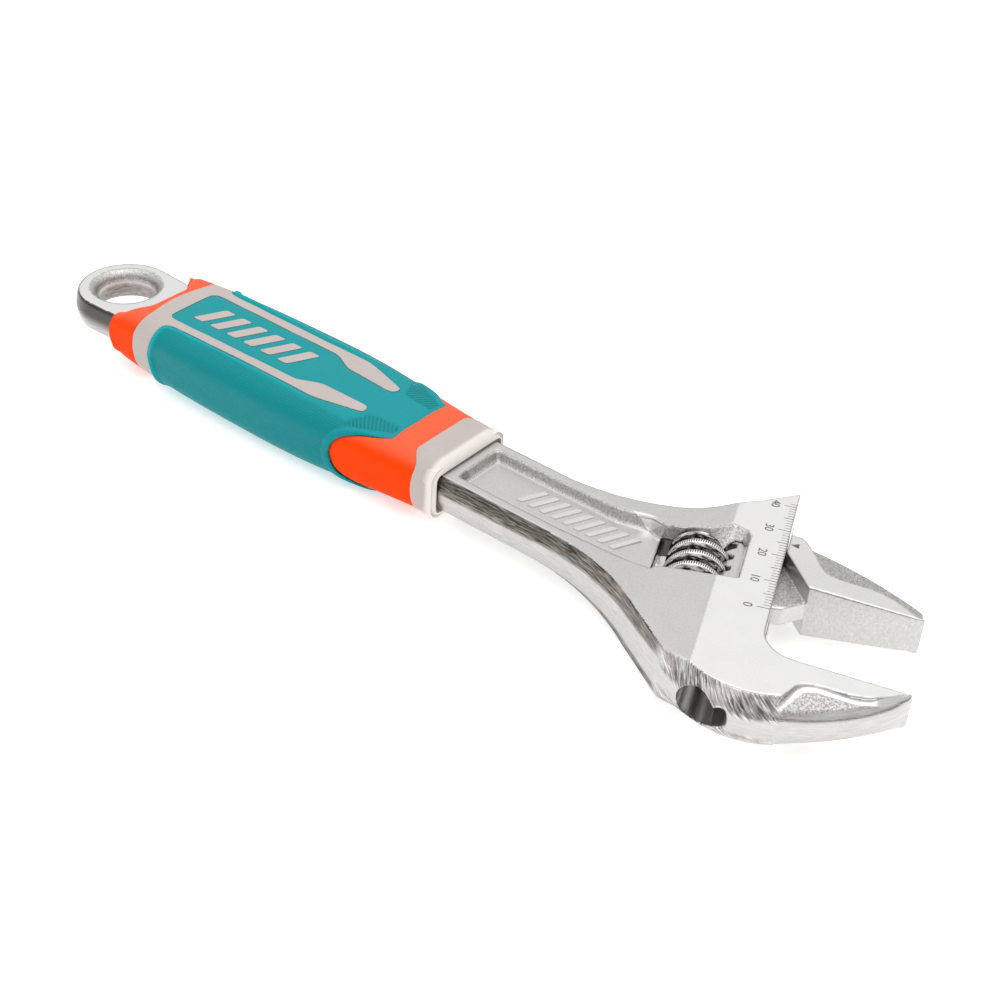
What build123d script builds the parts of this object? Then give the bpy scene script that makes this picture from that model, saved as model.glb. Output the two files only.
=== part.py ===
"""Adjustable wrench, 260 mm long, with a moulded grip.

Frame: millimetres, +X from the hanging ring to the jaws, +Z up out of the flat of the tool,
origin at the centre of the hanging hole on the mid-plane.  In the head, (a, s) are local
coordinates: a runs along the jaw faces towards the tips, s runs along the slide, opening.
"""

from build123d import *
import os
from math import cos, pi, radians, sin

os.makedirs("parts", exist_ok=True)

# ---- driving dimensions, mm and degrees ----
jaw_angle = 22.5                 # jaws against the handle
scale_zero = (206.5, -3.7)       # where the scale reads zero: origin of (a, s)
guide_edge = 5.3                 # a of the edge that carries the scale
head_half = 7.1                  # half thickness of the head
forged_drop = 0.1                # the forged skin lies below the ground band by this
ground_start = -8.3              # a where the ground band starts

fixed_face = -14.9               # s of the fixed jaw's face
opening = 25.6                   # between the faces, as built
moving_face = fixed_face + opening
face_inner, face_tip = 12.2, 38.6
tip_half = 4.8                   # half thickness at the jaw tips
mouth_radius = 8.0

shank_half_width = 12.0
shank_half = 5.1                 # half thickness of the shank's rims
flank_half = 2.4                 # half height of the upright flank, under the long chamfer
flank_lean = 2.83                # how far that chamfer leans in by the top of the loft
loft_top = 7.5                   # height at which the leaning flanks end, above every face
rim_width = 4.2
web_half = 2.4                   # half thickness of the web between the rims

ring_radius = 14.2               # at the mid-plane; the ring's sides lean in by ring_draft
ring_half = 4.5
ring_draft = 11
hole_radius = 8.2
hole_rounding = 2.5

rail_a = -5.2                    # centre of the jaw's round rail
rail_radius = 4.4
rail_bottom, rail_top = 6.5, 39.5
rack_flat = 3.6                  # from the rail's centre to the tips of its teeth
slide_gap = 0.1
neck_half = 2.6                  # half width of the slot beside the bore

worm_a = -14.0                   # axis of the worm
worm_radius = 7.55
worm_root = 4.9
worm_bottom, worm_top = 8.9, 22.7
pitch = 4.38
mesh_radius = 6.6                # where thread and rack meet, for the lean of the grooves
crest_tip, crest_base = 1.2, 2.4
mesh_gap = 0.25

facet_fade = 6.5                 # length over which the belly's facet fades out

window_left, window_right = -23.6, -5.0
window_bottom, window_top = 8.6, 23.2

pin_radius = 1.6
screw_radius = 2.5
pin_bottom, screw_bottom, screw_top = 4.0, 30.0, 36.5

tang_half_width, tang_half = 9.5, 3.6
tang_start = 14.0
collar_end = 124.0
grip_wall = 2.0

head = Plane(origin=(*scale_zero, 0), x_dir=(cos(radians(jaw_angle)), sin(radians(jaw_angle)), 0))
jaw_dir, slide_dir = head.x_dir, head.y_dir


def slide_plane(a, s):
    """A plane across the slide at (a, s): its x is along the jaw, its normal is the slide."""
    return Plane(origin=head.from_local_coords((a, s, 0)), x_dir=jaw_dir, z_dir=slide_dir)


def at(a, s, z=0.0):
    """A head point in the frame of the whole tool."""
    return head.from_local_coords(Vector(a, s, z))


# ---- outlines ----
flare_radius, flare_turn = 65.0, 30.0
belly_radius, belly_turn = 24.0, 65.0
back_radius, back_turn = 58.0, 29.0
outline_start = 117.0
corner = at(guide_edge, 46.3)
fixed_tip = at(face_tip, fixed_face)


def near_outline():
    """Shank, flare, belly and back of the fixed jaw, as one run of tangent arcs."""
    line = Line((outline_start, -shank_half_width), (154, -shank_half_width))
    flare = JernArc(line @ 1, line % 1, flare_radius, -flare_turn)
    slope = Line(flare @ 1, flare @ 1 + (flare % 1) * 18.4)
    belly = JernArc(slope @ 1, slope % 1, belly_radius, belly_turn)
    back = JernArc(belly @ 1, belly % 1, back_radius, back_turn)
    return slope, belly, back


def far_outline(inset):
    """Shank and flare on the side of the moving jaw, moved in by an inset."""
    line = Line((outline_start, shank_half_width - inset), (145, shank_half_width - inset))
    flare = JernArc(line @ 1, line % 1, 60 + inset, 26.7)
    hollow = JernArc(flare @ 1, flare % 1, 20 + inset, 35.3)
    return JernArc(hollow @ 1, hollow % 1, 25 - inset, -19)


# The plan of head and shank, with the mouth cut in.
with BuildSketch() as plan:
    with BuildLine():
        slope, belly, back = near_outline()
        Line(back @ 1, fixed_tip)
        Line(fixed_tip, at(guide_edge + mouth_radius, fixed_face))
        RadiusArc(
            at(guide_edge + mouth_radius, fixed_face),
            at(guide_edge, fixed_face + mouth_radius), mouth_radius,
        )
        Line(at(guide_edge, fixed_face + mouth_radius), corner)
        far = far_outline(0)
        Line(corner, far @ 1)
        Line((outline_start, shank_half_width), (outline_start, -shank_half_width))
    make_face()
belly_center = slope @ 1 + Vector(sin(radians(flare_turn)), cos(radians(flare_turn))) * belly_radius


def hull_top(lean, close):
    """Upper outline of the leaning flanks: full lean along the shank, almost none at the head."""
    start = Line((outline_start, lean - shank_half_width), (149.8, lean - shank_half_width))
    flare = JernArc(start @ 1, start % 1, flare_radius, -flare_turn)
    run = Line(flare @ 1, flare @ 1 + (flare % 1) * 24)
    inward = Vector(-(back % 0).Y, (back % 0).X)
    upper_back = JernArc(back @ 0 + inward * lean, back % 0, back_radius - lean, back_turn)
    Spline(run @ 1, upper_back @ 0, tangents=(run % 1, upper_back % 0))
    close(upper_back, far_outline(lean))
    Line((outline_start, shank_half_width - lean), (outline_start, lean - shank_half_width))


def past_the_mouth(near, far):
    """Carry an outline round, well clear of the mouth, so that the mouth keeps its sharp edges."""
    Polyline(near @ 1, near @ 1 + (near % 1) * 30, (300, 60), corner + (corner - far @ 1) * 3, far @ 1)


relief_edge = (                  # a, and height over the jaw's face, of the bevel's upper edge
    (7.6, 18.9), (9.4, 17.0), (11.2, 14.0), (13.0, 10.8), (15.2, 7.4),
    (18.5, 6.2), (27.0, 5.8), (32.6, 3.6), (37.2, 0.2),
)


def relief(face, side, first):
    """The sunken bevel on a jaw's back: side is +1 above the mid-plane and -1 below it."""
    away = 1 if face > 0 else -1
    edge = relief_edge[first:]
    inner = at(16, face + away * 6.6, side * 6.35)
    outer = at(36, face + away * 1.4, side * 4.6)
    low = at(24, face + away * 12.8, side * 3.3)
    with BuildPart() as tool:
        with BuildSketch(head):
            with BuildLine():
                lip = Spline(*[(a, face + away * h) for a, h in edge])
                Polyline(
                    lip @ 1, (45, face), (45, face + away * 30),
                    (edge[0][0], face + away * 30), lip @ 0,
                )
            make_face()
        extrude(amount=side * 12)
        deep = Plane(origin=inner, z_dir=(outer - inner).cross(low - inner))
        split(bisect_by=deep, keep=Keep.TOP if deep.z_dir.Z * side > 0 else Keep.BOTTOM)
    return tool.part


def belly_facet():
    """The ground cone round the belly, above the mouth of the slide's bore."""
    start = Plane(origin=belly_center, x_dir=(cos(radians(-110)), sin(radians(-110)), 0),
                  z_dir=(sin(radians(-110)), -cos(radians(-110)), 0))
    with BuildPart() as tool:
        with BuildSketch(start):
            Polygon((20.3, head_half + 0.05), (24.4, 2.6), (30, 2.6), (30, 9), (20.3, 9), align=None)
        revolve(axis=Axis(belly_center, (0, 0, 1)), revolution_arc=62)
        # beside the belly it fades out towards the shank
        for back_off, top_in, outer, low_z in ((0, 20.3, 24.4, 2.6), (facet_fade, 23.2, 23.6, 5.2)):
            with BuildSketch(start.offset(back_off)):
                Polygon((top_in, head_half + 0.05), (outer, low_z), (30, low_z), (30, 9), (top_in, 9), align=None)
        loft(ruled=True)
    return tool.part


def taper_tool(face_low, face_high):
    """What is cut away above and below so that a jaw thins towards its tip."""
    drop = (head_half - tip_half) / (face_tip - face_inner)
    with BuildPart() as tool:
        with BuildSketch(slide_plane(0, face_low)):
            for side in (1, -1):
                with BuildLine():
                    Polyline(
                        (face_inner, side * head_half),
                        (50, side * (head_half - drop * (50 - face_inner))),
                        (50, side * 12),
                        (face_inner, side * 12),
                        close=True,
                    )
                make_face()
        extrude(amount=face_high - face_low)
    return tool.part


# ---- the forged body: ring, tang, shank, head and fixed jaw ----
def thickness_profile():
    """Side view of shank and head: thin rims that rise to the full head."""
    with BuildPart() as profile:
        with BuildSketch(Plane.XZ):
            with BuildLine():
                rise = Spline(
                    (148, shank_half), (170, shank_half + 0.9), (192, head_half),
                    tangents=((1, 0), (1, 0)),
                )
                Polyline(
                    rise @ 1, (270, head_half), (270, 0), (outline_start, 0), (outline_start, shank_half), rise @ 0,
                )
            make_face()
        extrude(amount=80, both=True)
        mirror(about=Plane.XY)
    return profile.part


def leaning_hull():
    """Upright flanks about the mid-plane, then long chamfers that fade out towards the head."""
    with BuildPart() as solid:
        with BuildSketch(Plane.XY.offset(flank_half)) as widest:
            with BuildLine():
                lower = near_outline()[2]
                past_the_mouth(lower, far_outline(0))
                Line((outline_start, shank_half_width), (outline_start, -shank_half_width))
            make_face()
        extrude(amount=-flank_half)
        add(widest.sketch)
        with BuildSketch(Plane.XY.offset(loft_top)):
            with BuildLine():
                hull_top(flank_lean, past_the_mouth)
            make_face()
        loft(ruled=True)
        mirror(about=Plane.XY)
    return solid.part


def shank_pocket():
    """One side's sunken panel between the rims, from the collar to the worm window."""
    half = shank_half_width - rim_width
    with BuildPart() as tool:
        with BuildSketch(Plane.XY.offset(web_half)):
            with BuildLine():
                Polyline(
                    (127.5, half - 0.9), (164, half - 0.9), (172, half + 1.2), at(window_left, window_top - 1),
                    at(window_left + 1, window_top - 1), at(window_left + 1, window_bottom),
                    at(window_left, window_bottom - 1.7), (179.0, 0.9 - half), (127.5, 0.9 - half), close=True,
                )
            make_face()
        extrude(amount=8, taper=-14)
    return tool.part


def window_mouth():
    """The flared, forged mouth of the worm window on one face."""
    top = ((window_left, 6.8), (window_left, 22.8), (-18.7, 23.4), (-16.2, 25.0), (-12.7, 25.5),
           (-9.7, 27.5), (-7.6, 28.8), (-4.3, 27.4), (-3.4, 25.6), (-3.4, 8.9))
    low = ((window_left, 8.6), (window_left, 23.1), (-19, 23.1), (-16.5, 23.2), (-13, 23.2),
           (-10, 23.3), (-8, 23.3), (-6, 23.2), (-5, 23.0), (-5, 8.6))
    with BuildPart() as tool:
        with BuildSketch(head.offset(web_half)):
            Polygon(*low, align=None)
        with BuildSketch(head.offset(head_half + 0.1)):
            Polygon(*top, align=None)
        loft(ruled=True)
    return tool.part


with BuildPart() as wrench_body:
    add(plan.sketch)
    extrude(amount=head_half, both=True)
    add(leaning_hull(), mode=Mode.INTERSECT)
    add(thickness_profile(), mode=Mode.INTERSECT)
    add(taper_tool(-60, -7), mode=Mode.SUBTRACT)
    for side in (1, -1):
        add(relief(fixed_face, side, 2), mode=Mode.SUBTRACT)
    add(belly_facet(), mode=Mode.SUBTRACT)
    add(mirror(belly_facet(), about=Plane.XY), mode=Mode.SUBTRACT)
    for side in (1, -1):
        with BuildSketch(head.offset(side * (head_half - forged_drop))):
            with Locations((ground_start - 50, 0)):
                Rectangle(100, 200)
        extrude(amount=side * 2, mode=Mode.SUBTRACT)
    add(shank_pocket(), mode=Mode.SUBTRACT)
    add(mirror(shank_pocket(), about=Plane.XY), mode=Mode.SUBTRACT)
    add(window_mouth(), mode=Mode.SUBTRACT)
    add(mirror(window_mouth(), about=Plane.XY), mode=Mode.SUBTRACT)
    # the window itself
    with BuildSketch(head):
        with Locations(((window_left + window_right) / 2, (window_bottom + window_top) / 2)):
            Rectangle(window_right - window_left, window_top - window_bottom)
    extrude(amount=10, both=True, mode=Mode.SUBTRACT)
    # the slide: a round bore with a slot beside it
    with BuildSketch(slide_plane(rail_a, -60)):
        Circle(rail_radius + slide_gap)
    extrude(amount=140, mode=Mode.SUBTRACT)
    for start, reach in ((-60, 1.5), (-20, 6.8), (-20.5, face_inner + 0.4)):
        run = 14.5 if reach > 8 else 140
        with BuildSketch(slide_plane(rail_a, start)):
            with Locations(((reach - rail_a) / 2, 0)):
                Rectangle(reach - rail_a, 2 * neck_half)
        extrude(amount=run, mode=Mode.SUBTRACT)
    # the worm's pin and its screw thread
    with BuildSketch(slide_plane(worm_a, pin_bottom - 0.5)):
        Circle(pin_radius + 0.02)
    extrude(amount=60, mode=Mode.SUBTRACT)
    with BuildSketch(slide_plane(worm_a, screw_bottom - 0.1)):
        Circle(screw_radius + 0.02)
    extrude(amount=30, mode=Mode.SUBTRACT)
    # tang and hanging ring
    with BuildSketch():
        with Locations(((tang_start + outline_start) / 2, 0)):
            Rectangle(outline_start - tang_start + 6, 2 * tang_half_width)
    extrude(amount=tang_half, both=True)
    with BuildPart(mode=Mode.PRIVATE) as ring:
        with BuildSketch():
            Circle(ring_radius)
            Polygon((0, ring_radius), (15, 13.4), (15, -13.4), (0, -ring_radius), align=None)
        extrude(amount=ring_half, both=True, taper=ring_draft)
        with BuildSketch():
            Circle(hole_radius)
        extrude(amount=10, both=True, mode=Mode.SUBTRACT)
        rims = ring.edges().filter_by(GeomType.CIRCLE).filter_by(lambda e: abs(e.radius - hole_radius) < 0.01)
        fillet(rims, hole_rounding)
    add(ring.part)
wrench_body.part.label = "wrench_body"

# ---- moving jaw ----
tilt = -pitch / (2 * pi * mesh_radius)   # the rack's grooves lean with the worm's thread
groove_dir = Vector(0, 0, 1) + slide_dir * tilt
crest_phase = 15.72              # s of one crest's middle where it meets the rack

with BuildPart() as jaw_blank:
    with BuildSketch(head):
        with BuildLine():
            side = Line((guide_edge + 0.2, 29.6), (9.5, 29.6))
            top = JernArc(side @ 1, (cos(radians(12)), -sin(radians(12))), 60, -31)
            Polyline(
                top @ 1, (face_tip, moving_face), (face_inner, moving_face),
                (guide_edge + 0.2, 22.3), side @ 0,
            )
        make_face()
    extrude(amount=head_half, both=True)
    back_edges = [e for e in jaw_blank.edges().filter_by(GeomType.CIRCLE)]
    chamfer(back_edges, length=1.2)
    add(taper_tool(0, 60), mode=Mode.SUBTRACT)
    for side in (1, -1):
        add(relief(moving_face, side, 0), mode=Mode.SUBTRACT)
    # web through the slot, and the foot under the face's inner corner
    with BuildSketch(head):
        with BuildLine():
            Polyline(
                (rail_a, 29.0), (11.0, 29.0), (face_inner + 0.2, moving_face + 0.3),
                (guide_edge + 2.2, rail_bottom + 0.3), (guide_edge, rail_bottom), (rail_a, rail_bottom), close=True,
            )
        make_face()
    extrude(amount=neck_half - slide_gap, both=True)
    with BuildSketch(slide_plane(rail_a, rail_bottom)):
        Circle(rail_radius)
        with Locations((5 - rack_flat, 0)):
            Rectangle(10, 10, mode=Mode.INTERSECT)
    extrude(amount=rail_top - rail_bottom)


# grooves of the rack, cut across the flat of the rail
groove_depth = worm_a + worm_radius + mesh_gap
tooth_tips = rail_a - rack_flat
groove_count = int((rail_top - rail_bottom) / pitch) + 2
with BuildPart() as rack_tool:
    with BuildSketch(head.offset(-6)):
        for k in range(-groove_count, groove_count):
            s = crest_phase + k * pitch - 6 * tilt
            if rail_bottom - 1 < s + 6 * tilt < rail_top + 1:
                mouth = crest_base / 2 + mesh_gap
                floor = crest_tip / 2 + mesh_gap
                Polygon(
                    (tooth_tips - 0.6, s - mouth - 0.14), (groove_depth, s - floor),
                    (groove_depth, s + floor), (tooth_tips - 0.6, s + mouth + 0.14), align=None,
                )
    extrude(amount=12, dir=groove_dir.normalized())
with BuildPart() as movable_jaw:
    add(jaw_blank.part)
    add(rack_tool.part, mode=Mode.SUBTRACT)
movable_jaw.part.label = "movable_jaw"

# ---- worm, its pin and its spring; built along Z, then set on the slide ----
worm_seat = slide_plane(worm_a, 0).location
spring_wire, spring_radius = 0.25, 2.45
spring_pocket = (18.2, 3.1)      # where the pocket in the worm starts, and its radius


def polar(radius, angle):
    return (radius * cos(radians(angle)), radius * sin(radians(angle)))


# A cross-section of a single-start thread is one lobe; twisted along the axis, it is the worm.
tip_angle, base_angle = 180 * crest_tip / pitch, 180 * crest_base / pitch
start_angle = 360 * (worm_bottom - crest_phase) / pitch
with BuildSketch() as lobe:
    with BuildLine():
        CenterArc((0, 0), worm_radius, start_angle - tip_angle, 2 * tip_angle)
        CenterArc((0, 0), worm_root, start_angle + base_angle, 360 - 2 * base_angle)
        for flank in (1, -1):
            Spline(*[
                polar(worm_radius + (worm_root - worm_radius) * k / 4,
                      start_angle + flank * (tip_angle + (base_angle - tip_angle) * k / 4))
                for k in range(5)
            ])
    make_face()

worm_length = worm_top - worm_bottom
with BuildPart() as worm_local:
    add(Solid.extrude_linear_with_rotation(
        lobe.sketch.faces()[0], (0, 0, 0), (0, 0, worm_length), 360 * worm_length / pitch,
    ).moved(Location((0, 0, worm_bottom))))
    with BuildSketch(Plane.XY.offset(worm_bottom - 1)):
        Circle(pin_radius + 0.1)
    extrude(amount=20, mode=Mode.SUBTRACT)
    with BuildSketch(Plane.XY.offset(spring_pocket[0])):
        Circle(spring_pocket[1])
    extrude(amount=10, mode=Mode.SUBTRACT)
worm = worm_local.part.moved(worm_seat)
worm.label = "worm"

with BuildPart() as pin_local:
    with BuildSketch(Plane.XY.offset(pin_bottom)):
        Circle(pin_radius)
    extrude(amount=screw_bottom - pin_bottom)
    with BuildSketch(Plane.XY.offset(screw_bottom)):
        Circle(screw_radius)
    extrude(amount=screw_top - screw_bottom)
    chamfer(pin_local.faces().sort_by(Axis.Z)[-1].edges(), length=0.4)
    chamfer(pin_local.faces().sort_by(Axis.Z)[0].edges(), length=0.4)
    with BuildSketch(Plane.XY.offset(screw_top - 1.4)):
        Rectangle(6, 0.9)
    extrude(amount=3, mode=Mode.SUBTRACT)
worm_pin = pin_local.part.moved(worm_seat)
worm_pin.label = "worm_pin"

with BuildPart() as spring_local:
    with BuildLine(Plane.XY.offset(spring_pocket[0] + 0.35)):
        coil = Helix(0.75, window_top - spring_pocket[0] - 0.7, spring_radius)
    with BuildSketch(Plane(origin=coil @ 0, z_dir=coil % 0)):
        Circle(spring_wire)
    sweep(path=coil, is_frenet=True)
worm_spring = spring_local.part.moved(worm_seat)
worm_spring.label = "worm_spring"

# ---- moulded grip ----
rear_band = (20.8, 26.6)         # the grey band behind the teal
teal_front = (108.0, 92.0)       # where the teal ends on the flats and on the sides
collar_start = (114.8, 117.2)    # where the grey collar starts on the flats and on the sides
strip = ((27, 8.2), (74, 8.0), (79.5, 4.4), (95.5, 4.7), (95.5, 7.4), (81, 11.2), (27, 11.6))
grip_stations = (                # x, half width, half thickness
    (8, 15.0, 8.3), (18, 15.8, 8.8), (34, 17.1, 9.2), (58, 17.7, 9.4),
    (84, 17.2, 9.4), (104, 15.3, 8.9), (collar_end, 13.8, 8.1),
)
grip_corner = 6.0
bar_start, bar_step = 37.0, 8.0  # slanting bars between the strips


def grip_form(inset):
    """The grip's outer form, or the form a wall's thickness inside it."""
    with BuildPart() as form:
        for x, half_width, half in grip_stations:
            with BuildSketch(Plane(origin=(x, 0, 0), x_dir=(0, 1, 0), z_dir=(1, 0, 0))):
                RectangleRounded(2 * (half_width - inset), 2 * (half - inset), grip_corner - inset)
        loft()
        with BuildSketch(Plane.XZ):
            with BuildLine():
                end = ThreePointArc((16.5 + inset, 10), (9 + inset, 0), (16.5 + inset, -10))
                Polyline(end @ 1, (130, -10), (130, 10), end @ 0)
            make_face()
        extrude(amount=30, both=True, mode=Mode.INTERSECT)
    return form.part


def zone(*outline):
    """A tall prism over a plan outline and its mirror image across the tool's axis."""
    with BuildPart() as prism:
        with BuildSketch():
            Polygon(*outline, align=None)
            mirror(about=Plane.XZ)
        extrude(amount=20, both=True)
    return prism.part


outer_form, inner_form = grip_form(0), grip_form(grip_wall)
flat_edge, side_edge = 10.5, 15.2

grey_zones = [
    zone((rear_band[0], -1), (rear_band[1], -1), (rear_band[1], 30), (rear_band[0], 30)),
    zone(*strip),
    zone((collar_start[0], -1), (collar_start[0], flat_edge), (collar_start[1], 13.6), (collar_start[1], 30),
         (130, 30), (130, -1)),
]
for k in range(5):
    with BuildPart() as bar:
        with BuildSketch():
            with Locations((bar_start + bar_step * k, 0)):
                Polygon((-4.2, -4.6), (-0.2, -4.6), (4.2, 4.6), (0.2, 4.6), align=None)
        extrude(amount=20, both=True)
    grey_zones.append(bar.part)
rear_zone = zone((0, -1), (rear_band[0], -1), (rear_band[0], 30), (0, 30))
teal_zone = zone((rear_band[1], -1), (teal_front[0], -1), (teal_front[0], flat_edge - 0.5),
                 (teal_front[1], side_edge), (teal_front[1], 30), (rear_band[1], 30))
front_zone = zone((teal_front[0], -1), (teal_front[0], flat_edge - 0.5), (teal_front[1], side_edge),
                  (teal_front[1], 30), (collar_start[1], 30), (collar_start[1], 13.6),
                  (collar_start[0], flat_edge), (collar_start[0], -1))


def skin(region):
    """The outer wall of the grip over one region, less whatever of the core shows through."""
    with BuildPart() as wall:
        add(outer_form)
        add(region, mode=Mode.INTERSECT)
        add(inner_form, mode=Mode.SUBTRACT)
        for grey in grey_zones:
            add(grey, mode=Mode.SUBTRACT)
        add(wrench_body.part, mode=Mode.SUBTRACT)
    return wall.part


with BuildPart() as grip_core:
    add(inner_form)
    for grey in grey_zones:
        with BuildPart(mode=Mode.PRIVATE) as raised:
            add(outer_form)
            add(grey, mode=Mode.INTERSECT)
        add(raised.part)
    add(wrench_body.part, mode=Mode.SUBTRACT)
grip_core.part.label = "grip_core"

pieces = {
    "wrench_body": wrench_body.part,
    "movable_jaw": movable_jaw.part,
    "worm": worm,
    "worm_pin": worm_pin,
    "worm_spring": worm_spring,
    "grip_core": grip_core.part,
    "grip_teal": skin(teal_zone),
    "grip_front": skin(front_zone),
    "grip_rear": skin(rear_zone),
}
for name, piece in pieces.items():
    piece.label = name
    export_step(piece, f"parts/{name}.step")
    print(name, round(piece.volume, 1), piece.is_valid, len(piece.solids()))
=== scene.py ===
"""Adjustable wrench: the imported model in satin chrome, with a detailed worm and a moulded grip."""
from math import cos, pi, radians, sin

import bmesh
import bpy
import numpy as np
from mathutils import Matrix, Vector


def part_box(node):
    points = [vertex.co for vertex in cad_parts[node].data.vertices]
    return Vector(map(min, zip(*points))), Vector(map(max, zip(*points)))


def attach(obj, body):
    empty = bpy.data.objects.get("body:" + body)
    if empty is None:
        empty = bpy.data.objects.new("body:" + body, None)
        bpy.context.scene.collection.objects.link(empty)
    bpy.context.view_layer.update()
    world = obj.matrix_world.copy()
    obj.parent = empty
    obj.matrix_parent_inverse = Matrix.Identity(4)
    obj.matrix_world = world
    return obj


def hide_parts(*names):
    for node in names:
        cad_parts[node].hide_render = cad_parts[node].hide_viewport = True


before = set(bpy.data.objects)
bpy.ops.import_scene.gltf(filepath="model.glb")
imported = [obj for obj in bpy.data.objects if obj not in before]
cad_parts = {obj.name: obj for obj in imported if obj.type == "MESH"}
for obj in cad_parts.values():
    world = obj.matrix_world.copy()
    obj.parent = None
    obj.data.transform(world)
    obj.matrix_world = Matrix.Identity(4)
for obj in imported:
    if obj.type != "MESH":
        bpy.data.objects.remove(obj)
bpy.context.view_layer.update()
scene = bpy.context.scene
MM = 0.001

# ---- the head's own coordinates in millimetres: a along the jaws, s along the slide ----
JAW_ANGLE = radians(22.5)
SCALE_ZERO = np.array((206.5, -3.7, 0.0))
A_DIR = np.array((cos(JAW_ANGLE), sin(JAW_ANGLE), 0.0))
S_DIR = np.array((-sin(JAW_ANGLE), cos(JAW_ANGLE), 0.0))
HEAD_TOP = 7.1                                      # half the head's thickness
TAPER_FROM, TAPER_RUN, TAPER_DROP = 12.2, 26.4, 2.3  # the jaws thin towards their tips
BORE_A = -5.2                                       # where the slide's bore lies


def head_point(a, s, z):
    return SCALE_ZERO + A_DIR * a + S_DIR * s + np.array((0, 0, z))


def link(obj):
    scene.collection.objects.link(obj)
    return obj


def mesh_object(name, verts_mm, faces, material=None, smooth=True, sharp=None):
    """A mesh object from points in millimetres."""
    mesh = bpy.data.meshes.new(name)
    mesh.from_pydata([tuple(float(c) * MM for c in v) for v in verts_mm], [],
                     [tuple(map(int, f)) for f in faces])
    mesh.validate()
    mesh.update()
    if smooth:
        mesh.shade_smooth()
        if sharp:
            mesh.set_sharp_from_angle(angle=radians(sharp))
    if material:
        mesh.materials.append(material)
    return link(bpy.data.objects.new(name, mesh))


def smoothstep(x, low, high):
    k = np.clip((x - low) / (high - low), 0, 1)
    return k * k * (3 - 2 * k)


def between(value, low, high):
    return (value > low) & (value < high)


# ---- materials ----
class Nodes:
    """A small helper for building one node material."""

    def __init__(self, name):
        self.material = bpy.data.materials.new(name)
        self.material.use_nodes = True
        self.tree = self.material.node_tree
        self.shader = self.tree.nodes["Principled BSDF"]
        self.coords = self.add("ShaderNodeTexCoord")

    def add(self, kind, **settings):
        node = self.tree.nodes.new(kind)
        for key, value in settings.items():
            if key in node.inputs.keys():
                node.inputs[key].default_value = value
            else:
                setattr(node, key, value)
        return node

    def wire(self, source, target):
        self.tree.links.new(source, target)

    def set(self, **values):
        for key, value in values.items():
            self.shader.inputs[key.replace("_", " ")].default_value = value

    def noise(self, scale, detail=3.0, roughness=0.5, stretch=None):
        """Noise over object coordinates. Scale is features per millimetre, stretch is (scale, rotation)."""
        node = self.add("ShaderNodeTexNoise", Detail=detail, Roughness=roughness)
        node.inputs["Scale"].default_value = scale / MM
        vector = self.coords.outputs["Object"]
        if stretch:
            mapping = self.add("ShaderNodeMapping")
            mapping.inputs["Rotation"].default_value = stretch[1]
            mapping.inputs["Scale"].default_value = stretch[0]
            self.wire(vector, mapping.inputs["Vector"])
            vector = mapping.outputs["Vector"]
        self.wire(vector, node.inputs["Vector"])
        return node.outputs["Fac"]

    def math(self, operation, a, b=None):
        node = self.add("ShaderNodeMath", operation=operation)
        for i, value in enumerate((a, b)):
            if value is None:
                continue
            if isinstance(value, (int, float)):
                node.inputs[i].default_value = value
            else:
                self.wire(value, node.inputs[i])
        return node.outputs[0]

    def plus(self, a, b):
        return self.math("ADD", a, b)

    def times(self, a, b):
        return self.math("MULTIPLY", a, b)

    def plane_noise(self, across, up, detail, roughness):
        """Noise over two sockets that are already scaled."""
        place = self.add("ShaderNodeCombineXYZ")
        self.wire(across, place.inputs[0])
        self.wire(up, place.inputs[1])
        node = self.add("ShaderNodeTexNoise", Detail=detail, Roughness=roughness)
        node.inputs["Scale"].default_value = 1.0
        self.wire(place.outputs[0], node.inputs["Vector"])
        return node.outputs["Fac"]

    def ramp(self, value, low, high, out_low=0.0, out_high=1.0, smooth=True):
        node = self.add("ShaderNodeMapRange")
        node.interpolation_type = "SMOOTHSTEP" if smooth else "LINEAR"
        for key, number in (("From Min", low), ("From Max", high), ("To Min", out_low), ("To Max", out_high)):
            node.inputs[key].default_value = number
        self.wire(value, node.inputs["Value"])
        return node.outputs["Result"]

    def mix(self, factor, a, b):
        """Colour mix; a and b are colours or sockets."""
        node = self.add("ShaderNodeMix", data_type="RGBA")
        for socket, value in ((node.inputs[0], factor), (node.inputs[6], a), (node.inputs[7], b)):
            if isinstance(value, (int, float)):
                socket.default_value = value
            elif isinstance(value, tuple):
                socket.default_value = (*value, 1)
            else:
                self.wire(value, socket)
        return node.outputs[2]

    def attribute(self, name):
        return self.add("ShaderNodeAttribute", attribute_name=name).outputs["Fac"]

    def bump(self, height, distance_mm, strength=1.0, normal=None):
        node = self.add("ShaderNodeBump", Strength=strength)
        node.inputs["Distance"].default_value = distance_mm * MM
        self.wire(height, node.inputs["Height"])
        if normal:
            self.wire(normal, node.inputs["Normal"])
        return node.outputs["Normal"]

    def finish(self, color=None, roughness=None, normal=None):
        for socket, value in (("Base Color", color), ("Roughness", roughness), ("Normal", normal)):
            if value is not None:
                self.wire(value, self.shader.inputs[socket])
        return self.material


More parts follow.
